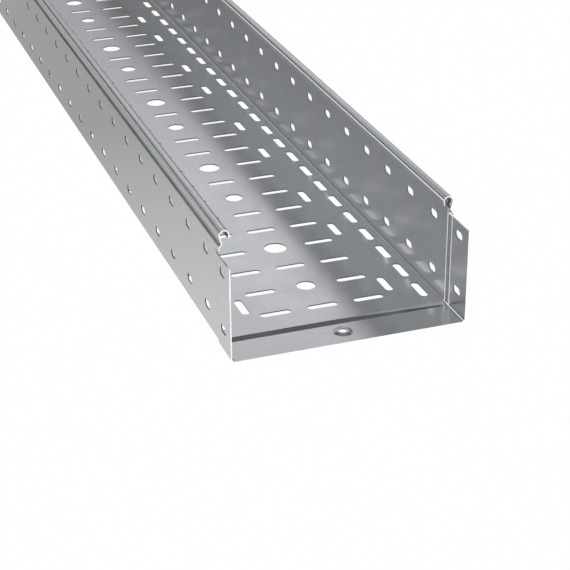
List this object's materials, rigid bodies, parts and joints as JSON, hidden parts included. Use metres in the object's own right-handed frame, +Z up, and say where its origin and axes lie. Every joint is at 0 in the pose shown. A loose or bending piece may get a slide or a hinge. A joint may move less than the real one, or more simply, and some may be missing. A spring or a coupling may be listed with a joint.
{
  "type": "perforated cable tray",
  "caption": "Straight length of perforated cable tray folded from one steel sheet, with rolled rims and a socket end that takes the next length.",
  "frame": {"origin": "on the level floor that the tray lies on, in the middle of its length and width", "axes": "+Y along the length from the socket end to the plain end, +Z up out of the open side, X across"},
  "size_m": [0.2022, 2, 0.1016],
  "materials": {
    "galvanised_steel": "smooth galvanised, satin sheen"
  },
  "bodies": {
    "root": {"tray_body": "galvanised_steel"}
  },
  "joints": []
}
